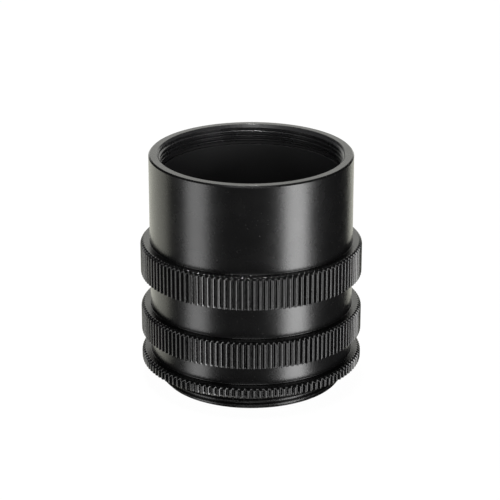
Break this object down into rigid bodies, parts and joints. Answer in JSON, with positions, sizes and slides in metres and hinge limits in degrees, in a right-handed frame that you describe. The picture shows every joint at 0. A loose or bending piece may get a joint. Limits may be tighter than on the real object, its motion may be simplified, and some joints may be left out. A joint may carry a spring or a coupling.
{
  "type": "macro extension tube",
  "caption": "Screw mount macro extension tube: round metal rings stacked on one axis, each with a plain neck, a knurled collar, a threaded mouth above and a threaded spigot below.",
  "frame": {"origin": "on the tube's axis, at the end face of the lowest spigot, which the tube stands on", "axes": "+Z along the optical axis, from the camera end up to the lens end; X and Y are free, with a rib of each knurl on +X"},
  "size_m": [0.0506, 0.0504, 0.0535],
  "materials": {
    "black_anodised": "satin black anodised, turned"
  },
  "bodies": {
    "short": {"short_ring": "black_anodised"},
    "middle": {"middle_ring": "black_anodised"},
    "long": {"long_ring": "black_anodised"}
  },
  "joints": [
    {"name": "middle_ring_off", "type": "slide", "parent": "short", "child": "middle", "axis": [0, 0, 1], "range_m": [0, 0.012]},
    {"name": "long_ring_off", "type": "slide", "parent": "middle", "child": "long", "axis": [0, 0, 1], "range_m": [0, 0.012]}
  ]
}
